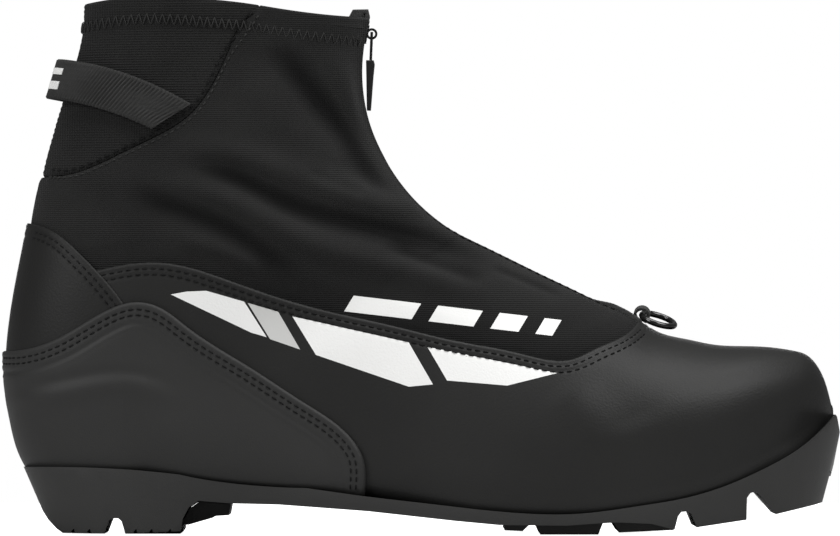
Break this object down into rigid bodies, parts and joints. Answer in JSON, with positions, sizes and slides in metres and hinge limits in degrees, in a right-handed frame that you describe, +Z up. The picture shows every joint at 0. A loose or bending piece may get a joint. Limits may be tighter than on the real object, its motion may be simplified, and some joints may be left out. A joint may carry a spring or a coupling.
{
  "type": "cross country ski boot",
  "caption": "Ankle-high cross country ski boot with zipped gaiter over a laced inner, heel pull loop, moulded heel overlay and a stiff sole with a toe bar for the binding.",
  "frame": {"origin": "middle of the boot's overall outline on the ground it stands on", "axes": "+X along the sole towards the toe, +Y towards the inner side of the foot, +Z up"},
  "size_m": [0.2998, 0.1042, 0.1914],
  "materials": {
    "vamp_leather": "satin synthetic leather",
    "softshell": "matte woven soft shell",
    "rib_knit": "matte ribbed stretch knit",
    "heel_plastic": "fine grained moulding",
    "sole_plastic": "satin moulding",
    "tread_rubber": "matte",
    "guard_plastic": "gloss",
    "bar_steel": "satin",
    "zip_plastic": "satin",
    "zip_tape": "matte weave",
    "slider_metal": "satin black",
    "grip_rubber": "matte",
    "ring_metal": "gloss black",
    "webbing": "ribbed webbing",
    "lining_fleece": "soft fleece",
    "foam": "soft padding",
    "stiff_board": "matte fibre board",
    "shank_steel": "plain"
  },
  "bodies": {
    "boot": {"vamp_and_quarter": "vamp_leather", "heel_counter_panel": "vamp_leather", "heel_overlay": "heel_plastic", "gaiter_lateral": "softshell", "gaiter_medial": "softshell", "ankle_stretch_panel": "rib_knit", "collar_binding": "softshell", "zip_coil_lateral": "zip_plastic", "zip_coil_medial": "zip_plastic", "zip_tape_lateral": "zip_tape", "zip_tape_medial": "zip_tape", "zip_end_tab": "webbing", "ring_tab": "webbing", "heel_pull_loop": "webbing", "heel_stiffener": "stiff_board", "toe_puff": "stiff_board", "foot_insulation": "foam", "ankle_padding": "foam", "tongue": "foam", "lining_lateral": "lining_fleece", "lining_medial": "lining_fleece", "insole_board": "stiff_board", "shank": "shank_steel", "footbed": "foam", "lace_stay_lateral": "webbing", "lace_stay_medial": "webbing", "lace_eyelets_lateral": "ring_metal", "lace_eyelets_medial": "ring_metal", "sole_frame": "sole_plastic", "toe_tip_guard": "guard_plastic", "toe_bar": "bar_steel", "heel_tread": "tread_rubber", "forefoot_tread": "tread_rubber"},
    "slider": {"zip_slider": "slider_metal"},
    "pull": {"zip_pull_link": "slider_metal", "zip_pull_grip": "grip_rubber"},
    "ring": {"toe_ring": "ring_metal"}
  },
  "joints": [
    {"name": "zip_travel", "type": "hinge", "parent": "boot", "child": "slider", "pos_m": [0.045, 0, 0.1656], "axis": [0, -1, 0], "range_deg": [0, 67]},
    {"name": "pull_swing", "type": "hinge", "parent": "slider", "child": "pull", "pos_m": [-0.01731, 0, 0.17884], "axis": [0, -1, 0], "range_deg": [0, 160]},
    {"name": "ring_swing", "type": "hinge", "parent": "boot", "child": "ring", "pos_m": [0.07958, 0, 0.07813], "axis": [-0.0778, -0.9659, -0.2468], "range_deg": [0, 130]}
  ]
}
